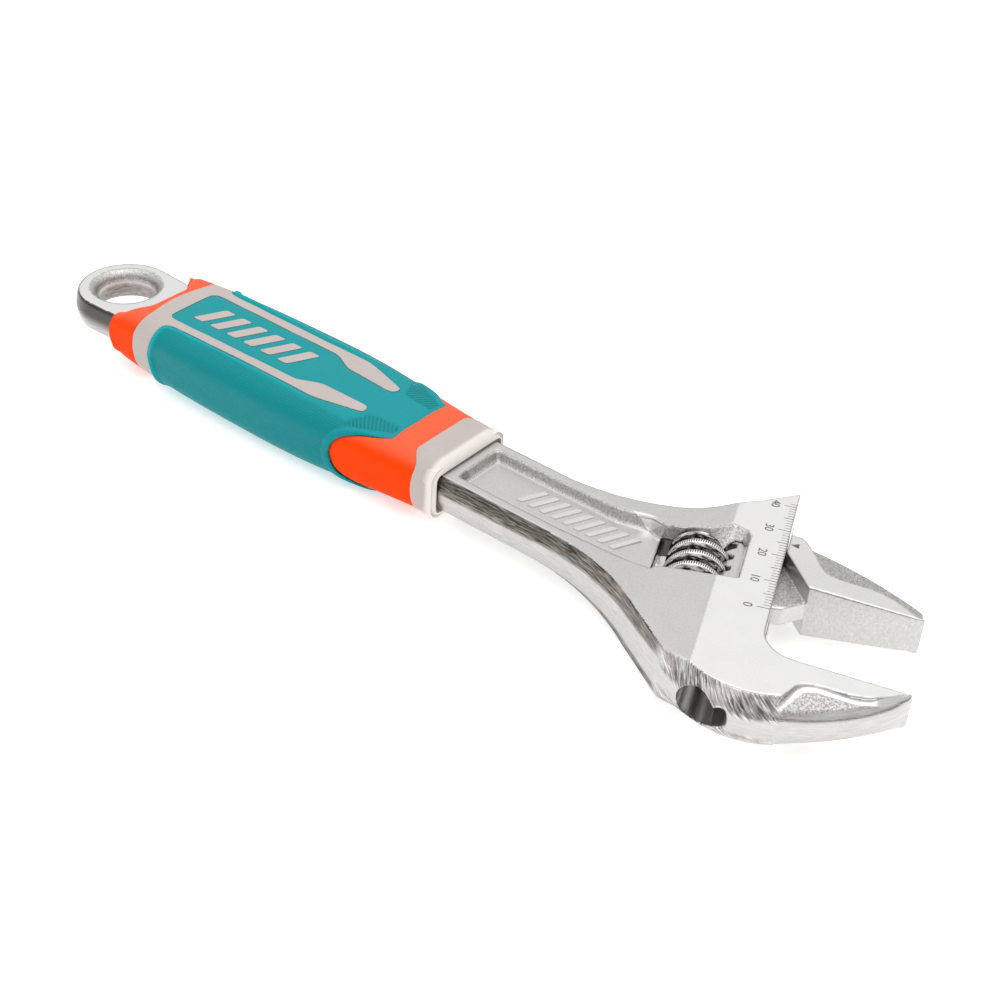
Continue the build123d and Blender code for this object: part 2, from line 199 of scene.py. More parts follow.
def steel(name):
    """Satin chrome plate, with a zone attribute for each other finish.

    ground is the smooth scale band, blasted the coarse recesses, polished the bright edges, streaked the
    belly's grinding strokes over a painted dark reflection, band the forging's chamfer and flanks darkened by
    a painted dark reflection, with painted shade low in the eye's hole, and shaded the walls that see little
    light.
    along and height place the streaks, in millimetres.
    """
    m = Nodes(name)
    m.set(Metallic=1.0)
    ground, blasted, polished, streaked, band = (
        m.attribute(zone) for zone in ("ground", "blasted", "polished", "streaked", "band"))
    along, height = m.attribute("along"), m.attribute("height")
    grain = m.noise(2.4, 4, 0.6)
    sand = m.noise(2.3, 2, 0.6)
    coarse = m.noise(0.16, 3)
    # grinding marks: along the jaws on the scale band, slanted on the belly, lengthwise on the chamfer
    lines = m.noise(1.0, 2, stretch=((0.12, 4.5, 1.0), (0, 0, -JAW_ANGLE)))
    slant = m.plus(along, m.times(height, 1.15))
    strokes = m.plane_noise(m.times(slant, 1.5), m.times(height, 0.3), 3.0, 0.6)
    drawn = m.plane_noise(m.times(along, 0.22), m.times(height, 2.9), 4.0, 0.65)

    tone = m.mix(ground, (0.68, 0.675, 0.66), (0.90, 0.895, 0.885))
    tone = m.mix(blasted, tone, (0.66, 0.65, 0.63))
    tone = m.mix(polished, tone, (0.84, 0.835, 0.82))
    # painted dark reflection: the dark, streaked tone of the band
    dark_reflection_tone = m.mix(m.ramp(drawn, 0.36, 0.68), (0.055, 0.046, 0.038), (0.36, 0.335, 0.305))
    tone = m.mix(band, tone, dark_reflection_tone)
    # the belly's facet: bright grinding strokes over patches of painted dark reflection
    patch = m.ramp(m.noise(0.11, 2), 0.40, 0.60)
    facet_dark_reflection = m.mix(patch, (0.10, 0.092, 0.085), (0.42, 0.40, 0.375))
    facet = m.mix(m.ramp(strokes, 0.38, 0.68), facet_dark_reflection, (0.86, 0.85, 0.83))
    tone = m.mix(streaked, tone, facet)
    tone = m.mix(m.attribute("shaded"), tone, (0.032, 0.029, 0.026))

    # speckle multiplies the tone: fine on satin, coarse where blasted, hardly any where ground or polished
    speck = m.plus(m.times(m.ramp(grain, 0.36, 0.66), m.math("SUBTRACT", 1.0, blasted)),
                   m.times(m.ramp(sand, 0.36, 0.62), blasted))
    low = m.mix(blasted, (0.90, 0.90, 0.895), (0.50, 0.49, 0.48))
    low = m.mix(m.math("MAXIMUM", ground, polished), low, (0.985, 0.985, 0.985))
    blend = m.add("ShaderNodeMix", data_type="RGBA", blend_type="MULTIPLY")
    blend.inputs[0].default_value = 1.0
    m.wire(tone, blend.inputs[6])
    m.wire(m.mix(speck, low, (1.0, 1.0, 1.0)), blend.inputs[7])

    rough = m.ramp(coarse, 0.3, 0.7, 0.28, 0.36)
    for zone, change in ((ground, -0.04), (blasted, 0.10), (polished, -0.14), (streaked, -0.04),
                         (band, 0.05)):
        rough = m.plus(rough, m.times(zone, change))
    strength = m.plus(m.times(blasted, 3.2), m.plus(m.times(ground, -0.75), 0.9))
    strength = m.plus(strength, m.times(polished, -0.45))
    normal = m.bump(m.times(grain, strength), 0.04, 0.6)
    for pattern, zone, depth_mm, weight in ((sand, blasted, 0.22, 0.6), (lines, ground, 0.012, 0.35),
                                            (strokes, streaked, 0.22, 0.8), (drawn, band, 0.12, 0.6)):
        normal = m.bump(m.times(pattern, zone), depth_mm, weight, normal)
    return m.finish(blend.outputs[2], rough, normal)


def turned_steel(name, tone):
    """Plain turned or drawn steel."""
    m = Nodes(name)
    m.set(Metallic=1.0)
    color = m.mix(m.ramp(m.noise(0.5, 3), 0.3, 0.75), tuple(c * 0.8 for c in tone), tone)
    rough = m.ramp(m.noise(1.6, 3), 0.3, 0.7, 0.26, 0.35)
    return m.finish(color, rough, m.bump(m.noise(3.0, 2), 0.01, 0.4))


def knurled_steel(name):
    """Polished thread: bright crests, with notches and grooves in painted shade, the grooves with bright
    smears.
    """
    m = Nodes(name)
    m.set(Metallic=1.0)
    deep, notch = m.attribute("deep"), m.attribute("notch")
    smear = m.plane_noise(m.times(m.attribute("turn"), 1.7), m.times(m.attribute("rise"), 2.0), 3.0, 0.6)
    # painted shade: the thread darkens down into its grooves and in the knurl's notches
    groove = m.mix(m.ramp(smear, 0.44, 0.62), (0.03, 0.027, 0.025), (0.70, 0.69, 0.67))
    tone = m.mix(m.ramp(deep, 0.03, 0.16), (0.93, 0.925, 0.91), groove)
    tone = m.mix(m.ramp(deep, 0.72, 0.98), tone, (0.05, 0.047, 0.045))
    tone = m.mix(notch, tone, (0.07, 0.065, 0.06))
    rough = m.ramp(m.noise(1.6, 3), 0.3, 0.7, 0.10, 0.20)
    return m.finish(tone, rough, m.bump(m.noise(3.0, 2), 0.01, 0.4))


RIB_PITCH, WEDGE_PITCH, RIB_DEPTH = 0.75, 1.0, 0.05      # millimetres


def moulded(name, tone, light, roughness, ribbed=False, gloss=0.14, top=None, lip=None):
    """Moulded plastic or soft rubber, clouded from tone to light.

    top gives flats that face up a painted sheen in a lighter colour, and lip gives raised borders a painted
    highlight. Ribs and pips run on uv, which is millimetres along and round the grip.
    """
    m = Nodes(name)
    m.set(Specular_IOR_Level=gloss)
    fine = m.noise(3.2, 3)
    color = m.mix(m.ramp(m.noise(0.09, 3), 0.3, 0.7), tone, light)
    color = m.mix(m.ramp(fine, 0.25, 0.75), tuple(c * 0.95 for c in tone), color)
    # painted sheen: flats that face up are mixed towards the lighter top colour
    if top:
        facing = m.add("ShaderNodeSeparateXYZ")
        m.wire(m.coords.outputs["Normal"], facing.inputs[0])
        color = m.mix(m.ramp(facing.outputs[2], 0.35, 0.95), color, top)
    # painted highlight along the raised borders
    if lip:
        color = m.mix(m.attribute("lip"), color, lip)
    rough = m.ramp(m.noise(0.8, 3), 0.3, 0.7, roughness - 0.05, roughness + 0.06)
    normal = m.bump(fine, 0.02, 0.6)
    if ribbed:
        split = m.add("ShaderNodeSeparateXYZ")
        m.wire(m.add("ShaderNodeUVMap", uv_map="skin").outputs["UV"], split.inputs[0])
        along, around = split.outputs[0], split.outputs[1]
        side, wedge = m.attribute("ribbed"), m.attribute("wedge")
        wobble = m.times(m.math("SINE", m.times(along, 0.9)), 0.10)
        rib = m.math("SINE", m.times(m.plus(around, wobble), 2 * pi / RIB_PITCH))
        across = m.math("SINE", m.times(along, 2 * pi / RIB_PITCH))
        pips = m.times(m.plus(rib, m.times(across, 0.45)), side)
        slant = m.plus(m.times(along, 0.80), m.times(around, -0.6))
        ridge = m.times(m.math("SINE", m.times(slant, 2 * pi / WEDGE_PITCH)), wedge)
        normal = m.bump(pips, RIB_DEPTH, 0.5, normal)
        normal = m.bump(ridge, RIB_DEPTH * 2.4, 0.8, normal)
        # painted shade: the troughs between the ribs and the wedge ridges are darker
        shade = m.plus(m.times(pips, 0.035), m.times(ridge, 0.09))
        dark = m.mix(m.ramp(shade, -0.1, 0.1, smooth=False), tuple(c * 0.82 for c in tone), color)
        color = m.mix(m.math("MAXIMUM", side, wedge), color, dark)
    return m.finish(color, rough, normal)


def marks_material():
    m = Nodes("engraved_marks")
    m.set(Metallic=0.6)
    tone = m.mix(m.ramp(m.noise(2.0, 3), 0.3, 0.7), (0.10, 0.095, 0.09), (0.17, 0.16, 0.15))
    return m.finish(tone, m.ramp(m.noise(1.0, 2), 0.3, 0.7, 0.45, 0.6))


STEEL = steel("satin_chrome")
WORM_STEEL = knurled_steel("worm_chrome")
PIN_STEEL = turned_steel("pin_steel", (0.52, 0.51, 0.50))
SPRING_STEEL = turned_steel("spring_steel", (0.42, 0.42, 0.43))
# top colours are a painted sheen on flats that face up, lip colours a painted highlight on raised borders
TEAL = moulded("teal_rubber", (0.0, 0.258, 0.280), (0.0, 0.290, 0.315), 0.44, ribbed=True,
               top=(0.009, 0.300, 0.325), lip=(0.0, 0.44, 0.47))
ORANGE = moulded("orange_rubber", (0.96, 0.057, 0.0), (1.0, 0.067, 0.0), 0.50, gloss=0.05,
                 top=(0.98, 0.135, 0.06))
GREY = moulded("grey_plastic", (0.535, 0.475, 0.448), (0.58, 0.52, 0.49), 0.48, lip=(0.84, 0.79, 0.75))
MARKS = marks_material()


# ---- forged and ground steel pieces: the CAD solids with softly broken edges ----
def softened(node, name, width_mm, voxel_mm):
    """A copy of a CAD node with its edges broken by a small round, on an even mesh."""
    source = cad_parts[node]
    copy = link(bpy.data.objects.new(name + "_work", source.data.copy()))
    work = bmesh.new()
    work.from_mesh(copy.data)
    bmesh.ops.remove_doubles(work, verts=work.verts, dist=0.002 * MM)
    bmesh.ops.dissolve_limit(work, angle_limit=radians(0.35), verts=work.verts, edges=work.edges)
    work.to_mesh(copy.data)
    work.free()
    broken = copy.modifiers.new("broken", "BEVEL")
    broken.limit_method = "ANGLE"
    broken.angle_limit = radians(28)
    broken.width = width_mm * MM
    broken.segments = 3
    broken.use_clamp_overlap = False
    even = copy.modifiers.new("even", "REMESH")
    even.mode = "VOXEL"
    even.voxel_size = voxel_mm * MM
    relax = copy.modifiers.new("relax", "SMOOTH")
    relax.factor = 0.5
    relax.iterations = 2
    bpy.context.view_layer.update()
    mesh = bpy.data.meshes.new_from_object(copy.evaluated_get(bpy.context.evaluated_depsgraph_get()))
    mesh.name = name
    bpy.data.objects.remove(copy)
    mesh.materials.clear()
    mesh.materials.append(STEEL)
    mesh.shade_smooth()
    obj = link(bpy.data.objects.new(name, mesh))
    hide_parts(node)
    return obj


def points_of(mesh):
    """Vertices in millimetres and their normals."""
    count = len(mesh.vertices)
    co, normal = np.zeros(count * 3), np.zeros(count * 3)
    mesh.vertices.foreach_get("co", co)
    mesh.vertices.foreach_get("normal", normal)
    return co.reshape(-1, 3) / MM, normal.reshape(-1, 3)


def set_attributes(mesh, **values):
    for name, numbers in values.items():
        layer = mesh.attributes.new(name, "FLOAT", "POINT")
        layer.data.foreach_set("value", np.asarray(numbers, np.float32))


def head_ab(points):
    rel = points - SCALE_ZERO
    return rel @ A_DIR, rel @ S_DIR


def head_top_at(a):
    """Half the head's thickness, which falls off along the jaws."""
    return HEAD_TOP - np.clip((a - TAPER_FROM) / TAPER_RUN, 0, 1) * TAPER_DROP


def is_ground(a, z, flat):
    """The smooth flats: faces that look up or down, at the head's full thickness."""
    return smoothstep(flat, 0.93, 0.985) * smoothstep(np.abs(z) - head_top_at(a), -0.25, -0.1)


def soft_outline(points, reach=0.9, rounds=3):
    """A closed polygon with its corners cut back, at most reach millimetres at a time."""
    pts = [np.array(p, float) for p in points]
    for _ in range(rounds):
        out = []
        for i, p in enumerate(pts):
            for other in (pts[i - 1], pts[(i + 1) % len(pts)]):
                d = np.linalg.norm(other - p)
                out.append(p + (other - p) * min(0.27, reach / max(d, 1e-6)))
        pts = out
        reach *= 0.5
    return np.array(pts)


def signed_distance(px, py, polygon):
    """Distance to a closed polygon, negative inside."""
    best = np.full(px.shape, 1e9)
    inside = np.zeros(px.shape, bool)
    for i in range(len(polygon)):
        (ax, ay), (bx, by) = polygon[i - 1], polygon[i]
        ex, ey = bx - ax, by - ay
        k = np.clip(((px - ax) * ex + (py - ay) * ey) / (ex * ex + ey * ey + 1e-12), 0, 1)
        best = np.minimum(best, (px - ax - k * ex) ** 2 + (py - ay - k * ey) ** 2)
        cross = (ay > py) != (by > py)
        with np.errstate(divide="ignore", invalid="ignore"):
            inside ^= cross & (px < (bx - ax) * (py - ay) / (by - ay + 1e-30) + ax)
    return np.where(inside, -1, 1) * np.sqrt(best)


def walk(start, heading, *legs):
    """A plan line of straight runs (length, 0) and arcs (radius, turn in degrees)."""
    at, angle, path = np.array(start, float), radians(heading), [np.array(start, float)]
    for size, turn in legs:
        steps = max(1, int(abs(turn) / 3))
        for _ in range(steps):
            part = radians(turn) / steps
            length = abs(part) * size if turn else size
            at = at + length * np.array((cos(angle + part / 2), sin(angle + part / 2)))
            angle += part
            path.append(at)
    return np.array(path)


def nearest_on(x, y, path):
    """Distance from points to an open plan line, and how far along it the nearest point is."""
    best, where, travelled = np.full(x.shape, 1e9), np.zeros(x.shape), 0.0
    for (ax, ay), (bx, by) in zip(path[:-1], path[1:]):
        ex, ey = bx - ax, by - ay
        length = np.hypot(ex, ey)
        k = np.clip(((x - ax) * ex + (y - ay) * ey) / length ** 2, 0, 1)
        d = np.hypot(x - ax - k * ex, y - ay - k * ey)
        nearer = d < best
        best = np.where(nearer, d, best)
        where = np.where(nearer, travelled + k * length, where)
        travelled += length
    return best, where


def relaxed(mesh, weight, rounds):
    """Laplacian smoothing where weight is above zero."""
    count = len(mesh.vertices)
    co = points_of(mesh)[0]
    edge = np.zeros(len(mesh.edges) * 2, int)
    mesh.edges.foreach_get("vertices", edge)
    edge = edge.reshape(-1, 2)
    edge = edge[(weight[edge] > 0).any(axis=1)]
    both = np.concatenate((edge, edge[:, ::-1]))
    degree = np.maximum(np.bincount(both[:, 0], minlength=count), 1)
    for _ in range(rounds):
        for axis in range(3):
            mean = np.bincount(both[:, 0], co[both[:, 1], axis], count) / degree
            co[:, axis] += weight * 0.6 * (mean - co[:, axis])
    mesh.vertices.foreach_set("co", (co * MM).reshape(-1))
    mesh.update()


# The plan lines of the two forged flanks, from the collar: straight runs and arcs.
NEAR_LINE = walk((117, -12), 0, (37, 0), (65, -30), (18.4, 0), (24, 65), (58, 29))
FAR_LINE = walk((117, 12), 0, (28, 0), (60, 26.7), (20, 35.3))
SHANK_X = 118              # where the shank leaves the grip
CHAMFER_REACH = 3.4        # how far in from its plan line a flank counts as chamfer
BELLY_RUN = 84             # how far along the near line the belly's facet starts
PATCH_EDGE = (1.15, 1.5)   # the polished border round the blasted patch

voxel = 0.30
body = softened("wrench_body", "body_steel", 0.28, voxel)
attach(body, "body")
pts, nrm = points_of(body.data)
a, s = head_ab(pts)
x, y, z = pts.T
near_gap, near_run = nearest_on(x, y, NEAR_LINE)
far_gap, far_run = nearest_on(x, y, FAR_LINE)
bore_gap = np.hypot(a - BORE_A, z)

# the flanks, the shank's panel and the eye's outside are forged, without crisp edges
on_flank = (np.minimum(near_gap, far_gap) < 2.4) & (x > SHANK_X) & (np.abs(z) < 4.9)
flank_ease = np.where(on_flank, 1.0, 0.0) * smoothstep(-np.abs(z), -4.9, -3.9)
flank_ease *= np.where(near_run > BELLY_RUN + 4, smoothstep(bore_gap, 4.9, 6.4), 1.0)
panel_ease = smoothstep(x, 122, 127) * smoothstep(-x, -184, -180) * smoothstep(-np.abs(y), -11.5, -10)
panel_ease *= smoothstep(-np.abs(z), -6.6, -6.2)
eye_ease = np.where((x < 15) & (np.hypot(x, y) > 10.8), 1.0, 0.0)
for weight, rounds, quick_rounds in ((flank_ease, 90, 24), (panel_ease, 12, 3), (eye_ease, 30, 10)):
    relaxed(body.data, weight, rounds)

# the finishes, from where each point lies and which way it faces
pts, nrm = points_of(body.data)
a, s = head_ab(pts)
x, y, z = pts.T
high = np.abs(z)
flat = np.abs(nrm[:, 2])
near_facing = nrm[:, :2] @ -S_DIR[:2]
from_eye = np.hypot(x, y)

ground = smoothstep(a, -8.45, -8.15) * is_ground(a, z, flat) * (x > 180)

facet = (near_run > BELLY_RUN) & (near_gap < 4.6) & (bore_gap > 4.4) & (high > 1.6) & (a < 15)
facet &= (flat < 0.93) & (near_facing > 0.1)
streaked = (smoothstep(near_run, BELLY_RUN, BELLY_RUN + 6) * smoothstep(-a, -15, -8)
            * smoothstep(high, 1.6, 3.0))
streaked = np.where(facet, streaked, 0.0)

RECESS = soft_outline([(11.2, -28.9), (13.0, -25.7), (15.2, -22.3), (18.5, -21.1), (27.0, -20.7),
                       (32.6, -18.5), (37.2, -15.1), (46, -15), (46, -46), (11.2, -46)], 0.6)
recess_depth = np.maximum(-signed_distance(a, s, RECESS), 0)
in_recess = (recess_depth > 0) & (flat > 0.3) & (a > 9)
patch = smoothstep(recess_depth, *PATCH_EDGE)
blasted = np.where(in_recess, patch * smoothstep(high, 3.7, 4.2), 0.0) * smoothstep(-a, -41.0, -39.5)
panel_wall = between(x, 126, 190) & (np.abs(y) < 8.9) & between(high, 2.5, 6.6) & between(flat, 0.1, 0.93)
panel_wall &= (y > 3) | (x < 129.5)
mouth = between(a, -23.9, -3) & between(s, 22.4, 30) & (flat < 0.95) & (z > 2.2)
blasted = np.maximum(blasted, np.where(panel_wall | mouth, 0.85, 0.0))
hole = (from_eye < 11.2) & (flat < 0.97)
blasted = np.maximum(blasted, np.where(hole, smoothstep(z, 0.6, 1.6) * 0.85, 0.0))

# painted dark reflection on the forging's chamfer: wide above, narrow below, and faint over the rest of the
# flank
flank = (x > SHANK_X) & (flat < 0.9)
chamfer = flank & (((near_gap < CHAMFER_REACH) & (a < -6)) | ((far_gap < CHAMFER_REACH) & (x < 175)))
level = np.where(z > 0, np.interp(x, (117, 150, 190, 205), (-0.6, 0.0, 1.4, 3.0)), 3.4)
band = np.where(chamfer, smoothstep(high, level, level + 2.0), 0.0)
outside = flank & (near_gap < 9) & (near_facing > 0.2) & (s < 30)
flank_dark_reflection = np.where(outside, np.interp(near_run, (0, 60, 90, 130), (0.42, 0.40, 0.37, 0.34)), 0.0)
band = np.maximum(band, flank_dark_reflection) * (1 - streaked)
# painted dark reflection on the eye's sides, and painted shade low in the eye's hole
eye_side = (x < 13) & (from_eye > 11.5) & (flat < 0.8)
band = np.maximum(band, np.where(eye_side, 0.45, 0.0))
band = np.maximum(band, np.where(hole, 0.72 * smoothstep(-z, -1.9, 0.4), 0.0))

eye_shade = 0.86 * smoothstep(z, -3.4, 1.2) * smoothstep(np.abs(nrm[:, 1]), 0.2, 0.8)
shaded = np.where(eye_side, eye_shade, 0.0)
gap_wall = between(a, -25.5, -21.4) & between(s, 7, 22.6) & (high < 5.6)
far_wall = between(a, -23.9, -3) & between(s, 20, 24.6) & (high < 2.7)
shaded = np.maximum(shaded, np.where((gap_wall | far_wall) & (flat < 0.6) & (x > 175), 0.9, 0.0))

polished = smoothstep(-x, -17.0, -15.0) * (1 - band) * (1 - blasted)
bare = (x > SHANK_X) * (1 - blasted) * (1 - band) * (1 - streaked)
polished = np.maximum(polished, smoothstep(flat, 0.75, 0.45) * bare)
polished = np.maximum(polished, np.where(in_recess, 1 - patch, 0.0))

# how far along its flank each point lies, carried on past the near line's end and round the eye
along = np.where(near_gap < far_gap, near_run, far_run)
along = np.where(near_run > near_run.max() - 0.01, near_run + a, along)
along = np.where(x < 20, 14 * np.arctan2(y, x), along)
set_attributes(body.data, ground=ground, blasted=blasted, polished=polished, streaked=streaked, band=band,
               shaded=shaded, along=along, height=z)

jaw = softened("movable_jaw", "jaw_steel", 0.3, voxel * 0.85)
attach(jaw, "jaw")
pts, nrm = points_of(jaw.data)
a, s = head_ab(pts)
z = pts[:, 2]
flat = np.abs(nrm[:, 2])
relief = (a > 6) & (s > 13) & (flat > 0.3)
web = between(a, 0, 12) & (np.abs(z) < 3.0) & (flat > 0.7) & (s > 7.5)
blasted = np.where(relief, smoothstep(head_top_at(a) - np.abs(z), 0.2, 0.4), 0.0)
blasted = np.maximum(blasted, np.where(web, 0.8, 0.0))
face = (np.abs(s - 10.7) < 0.25) & (a > 12)
# a short along and height give the gripping face a fine mottle in place of long streaks
set_attributes(jaw.data, ground=is_ground(a, z, flat) * 0.5, blasted=blasted, polished=face * 0.45,
               band=face * 0.30, along=a * 7.0, height=z * 0.35)

# ---- worm: a knurled screw thread ----
WORM_A, WORM_R, WORM_ROOT = -14.0, 7.55, 4.9
WORM_LOW, WORM_HIGH, PITCH, CREST_AT = 8.9, 22.7, 4.38, 15.72
BORE_R, POCKET_R, POCKET_S = 1.7, 3.1, 18.2
TURN_STEPS, ROWS, KNURLS = 420, 96, 84
CREST_HALF, KNURL_DEPTH, END_DROP, END_RUN = 1.55, 0.16, 0.25, 0.35


def worm_mesh():
    """The thread, closed by its end faces, spring pocket and bore: points, faces, and painted shade and smear
    values.
    """
    points, faces, finish = [], [], []
    theta = np.arange(TURN_STEPS) * 2 * pi / TURN_STEPS
    round_it = np.stack((np.cos(theta), np.sin(theta)), -1)
    origin, side = head_point(WORM_A, 0, 0), np.array((0, 0, -1.0))

    def ring(radius, s_mm):
        """Adds one ring of points and returns the index of its first."""
        start = len(points)
        for (c, d), r in zip(round_it, np.broadcast_to(radius, TURN_STEPS)):
            points.append(origin + A_DIR * (r * c) + side * (r * d) + S_DIR * s_mm)
        return start

    def bridge(low, high):
        for j in range(TURN_STEPS):
            k = (j + 1) % TURN_STEPS
            faces.append((low + j, low + k, high + k, high + j))

    knurl = 0.5 + 0.5 * np.cos(theta * KNURLS)
    starts = []
    for s_mm in np.linspace(WORM_LOW, WORM_HIGH, ROWS):
        phase = (s_mm - CREST_AT - PITCH * theta / (2 * pi) + PITCH / 2) % PITCH - PITCH / 2
        off = np.abs(phase)
        thread = np.clip(1 - ((off / CREST_HALF) ** 2.8), 0, 1) ** 0.75
        ends = np.minimum(smoothstep(s_mm, WORM_LOW, WORM_LOW + END_RUN),
                          smoothstep(-s_mm, -WORM_HIGH, -WORM_HIGH + END_RUN))
        radius = WORM_ROOT + (WORM_R - WORM_ROOT) * thread
        radius = radius - KNURL_DEPTH * smoothstep(off, 0.62, 0.40) * knurl ** 2
        radius = radius - END_DROP * (1 - ends)
        notch = smoothstep(off, 0.68, 0.48) * knurl ** 1.5
        finish.append(np.stack((1 - thread, notch, phase), -1))
        starts.append(ring(radius, s_mm))
    # the spring pocket and bore take the grooves' painted shade
    for radius, s_mm in ((POCKET_R + 0.6, WORM_HIGH), (POCKET_R, WORM_HIGH), (POCKET_R, POCKET_S),
                         (BORE_R, POCKET_S), (BORE_R, WORM_LOW)):
        finish.append(np.tile((0.9, 0.0, 0.0), (TURN_STEPS, 1)))
        starts.append(ring(radius, s_mm))
    for low, high in zip(starts, starts[1:]):
        bridge(low, high)
    bridge(starts[-1], starts[0])
    return points, faces, np.concatenate(finish), np.tile(theta, len(starts))


points, faces, finish, theta = worm_mesh()
worm = mesh_object("worm_knurled", points, faces, WORM_STEEL, sharp=38)
set_attributes(worm.data, deep=finish[:, 0], notch=finish[:, 1], rise=finish[:, 2],
               turn=np.minimum(theta, 2 * pi - theta))
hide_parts("worm")
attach(worm, "worm")

for node, material in (("worm_pin", PIN_STEEL), ("worm_spring", SPRING_STEEL)):
    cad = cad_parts[node]
    if not cad.material_slots:
        cad.data.materials.append(material)
    for part in cad.material_slots:
        part.material = material


# ---- scale: ticks, numerals and the jaw's pointer, as thin inlays ----
def bars_mesh(outlines, low, high):
    """Upright prisms on plan outlines given in millimetres."""
    verts, faces = [], []
    for outline in outlines:
        n, base = len(outline), len(verts)
        verts += [(*p[:2], low) for p in outline] + [(*p[:2], high) for p in outline]
        faces.append(tuple(base + n + i for i in range(n)))
        faces.append(tuple(base + i for i in reversed(range(n))))
        faces += [(base + i, base + (i + 1) % n, base + n + (i + 1) % n, base + n + i) for i in range(n)]
    return verts, faces


def head_outline(corners):
    return [head_point(a, s, 0) for a, s in corners]


TICK_END = 5.05  # just short of the slide's edge
ticks = []
for mm in range(0, 42):
    length = 2.9 if mm % 10 == 0 else 2.3 if mm % 5 == 0 else 1.6
    half = 0.09 if mm % 5 == 0 else 0.065
    ticks.append(head_outline([(TICK_END - length, mm - half), (TICK_END, mm - half),
                               (TICK_END, mm + half), (TICK_END - length, mm + half)]))
scale_ticks = mesh_object("scale_ticks", *bars_mesh(ticks, HEAD_TOP - 0.05, HEAD_TOP + 0.012),
                          MARKS, smooth=False)
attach(scale_ticks, "body")

for number in (0, 10, 20, 30, 40):
    curve = bpy.data.curves.new(f"numeral_{number}", "FONT")
    curve.body = str(number)
    curve.size = 3.0 * MM
    curve.space_character = 0.95
    curve.align_x, curve.align_y = "CENTER", "CENTER"
    curve.extrude = 0.03 * MM
    curve.resolution_u = 4
    text = link(bpy.data.objects.new(f"numeral_{number}_work", curve))
    bpy.context.view_layer.update()
    mesh = bpy.data.meshes.new_from_object(text.evaluated_get(bpy.context.evaluated_depsgraph_get()))
    bpy.data.objects.remove(text)
    place = Matrix.Identity(4)
    up, right = Vector(A_DIR), Vector(-S_DIR)
    for column, axis in enumerate((right, up, Vector((0, 0, 1)))):
        for row in range(3):
            place[row][column] = axis[row]
    at = head_point(0.0, number, HEAD_TOP - 0.015)
    for row in range(3):
        place[row][3] = at[row] * MM
    mesh.transform(place)
    mesh.materials.clear()
    mesh.materials.append(MARKS)
    numeral = link(bpy.data.objects.new(f"scale_numeral_{number}", mesh))
    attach(numeral, "body")

pointer = mesh_object(
    "jaw_pointer",
    *bars_mesh([head_outline([(5.9, 25.0), (7.9, 24.1), (7.9, 25.9)])], HEAD_TOP - 0.05, HEAD_TOP + 0.015),
    MARKS, smooth=False)
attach(pointer, "jaw")


# ---- raised ribs on the shank's panel ----
def rounded_bar(cx, cy, half_x, half_y, low, high, slant):
    """A bar with a chamfered top, leaning along x by slant at its far end."""
    verts = []
    for level, grow in ((low, 0.14), (high - 0.12, 0.0), (high, -0.14)):
        for sx, sy in ((-1, -1), (1, -1), (1, 1), (-1, 1)):
            yy = sy * (half_y + grow)
            verts.append((cx + sx * (half_x + grow) + slant * yy, cy + yy, level))
    faces = [(3, 2, 1, 0), (8, 9, 10, 11)]
    for ring in (0, 4):
        faces += [(ring + i, ring + (i + 1) % 4, ring + 4 + (i + 1) % 4, ring + 4 + i) for i in range(4)]
    return verts, faces


def joined(parts):
    verts, faces = [], []
    for part_verts, part_faces in parts:
        base = len(verts)
        verts += part_verts
        faces += [tuple(base + i for i in f) for f in part_faces]
    return verts, faces


ribs = [rounded_bar(143.5 + 3.4 * k, 0.6, half_x=0.75, half_y=3.4, low=2.3, high=2.95, slant=0.45)
        for k in range(9)]
shank_ribs = mesh_object("shank_ribs", *joined(ribs), STEEL, smooth=False)
everywhere = np.ones(len(shank_ribs.data.vertices))
set_attributes(shank_ribs.data, ground=everywhere * 0.2, polished=everywhere * 0.6)
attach(shank_ribs, "body")


# ---- moulded grip ----
STATIONS = np.array((             # x, half width, half thickness
    (7, 14.8, 8.2), (18, 15.8, 8.8), (34, 17.1, 9.2), (58, 17.7, 9.4), (84, 17.2, 9.4), (104, 15.3, 8.9),
    (124.5, 13.8, 8.1)))
CORNER = 6.0
REAR_OPENING = (13.75, 4.6, 1.0)  # half width, half thickness, corner
FRONT_OPENING = (12.35, 5.5, 1.6)


def through(xs, knots, values):
    """A smooth curve through knots (natural cubic), evaluated at xs."""
    n = len(knots)
    gap = np.diff(knots)
    rows = np.zeros((n, n))
    right = np.zeros(n)
    rows[0, 0] = rows[-1, -1] = 1
    for i in range(1, n - 1):
        rows[i, i - 1], rows[i, i], rows[i, i + 1] = gap[i - 1], 2 * (gap[i - 1] + gap[i]), gap[i]
        right[i] = 6 * ((values[i + 1] - values[i]) / gap[i] - (values[i] - values[i - 1]) / gap[i - 1])
    bend = np.linalg.solve(rows, right)
    i = np.clip(np.searchsorted(knots, xs) - 1, 0, n - 2)
    left, over, span = xs - knots[i], knots[i + 1] - xs, gap[i]
    return ((bend[i] * over ** 3 + bend[i + 1] * left ** 3) / (6 * span)
            + (values[i] / span - bend[i] * span / 6) * over
            + (values[i + 1] / span - bend[i + 1] * span / 6) * left)


def section(half_w, half_h, corner, q):
    """Quarter of a rounded rectangle at q in 0..1 from the top's middle: y, z, normal and arc length."""
    l1, l2, l3 = half_w - corner, corner * pi / 2, half_h - corner
    t = q * (l1 + l2 + l3)
    angle = np.clip((t - l1) / corner, 0, pi / 2)
    y = np.minimum(t, l1) + corner * np.sin(angle)
    z = half_h - corner + corner * np.cos(angle) - np.maximum(t - l1 - l2, 0)
    return y, z, np.sin(angle), np.cos(angle), t


